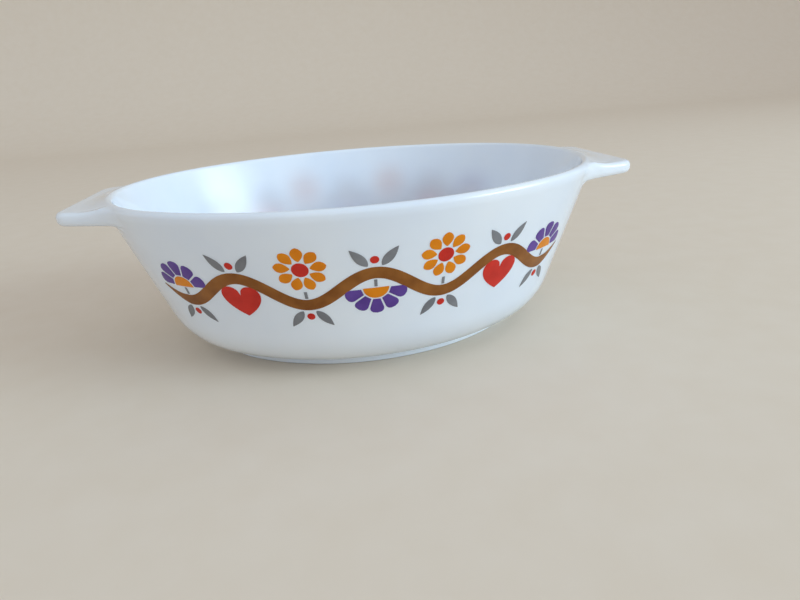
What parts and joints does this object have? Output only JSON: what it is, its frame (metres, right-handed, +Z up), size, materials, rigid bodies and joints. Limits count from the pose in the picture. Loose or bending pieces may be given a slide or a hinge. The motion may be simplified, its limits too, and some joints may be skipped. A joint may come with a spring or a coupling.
{
  "type": "oval casserole dish",
  "caption": "Open oval casserole dish of white opal glass with a flared wall, a flat tab handle at each end and a band of enamel flowers on its long sides.",
  "frame": {"origin": "middle of the base, on the plane that the dish stands on", "axes": "+X along the long axis through the tab handles, +Y across the dish, +Z up"},
  "size_m": [0.235, 0.172, 0.072],
  "materials": {
    "opal_glass": "gloss",
    "enamel_brown": "gloss",
    "enamel_grey": "gloss",
    "enamel_orange": "gloss",
    "enamel_purple": "gloss",
    "enamel_red": "gloss"
  },
  "bodies": {
    "root": {"dish": "opal_glass", "front_vine": "enamel_brown", "front_leaves": "enamel_grey", "front_daisies": "enamel_orange", "front_fans": "enamel_purple", "front_hearts": "enamel_red", "back_vine": "enamel_brown", "back_leaves": "enamel_grey", "back_daisies": "enamel_orange", "back_fans": "enamel_purple", "back_hearts": "enamel_red"}
  },
  "joints": []
}
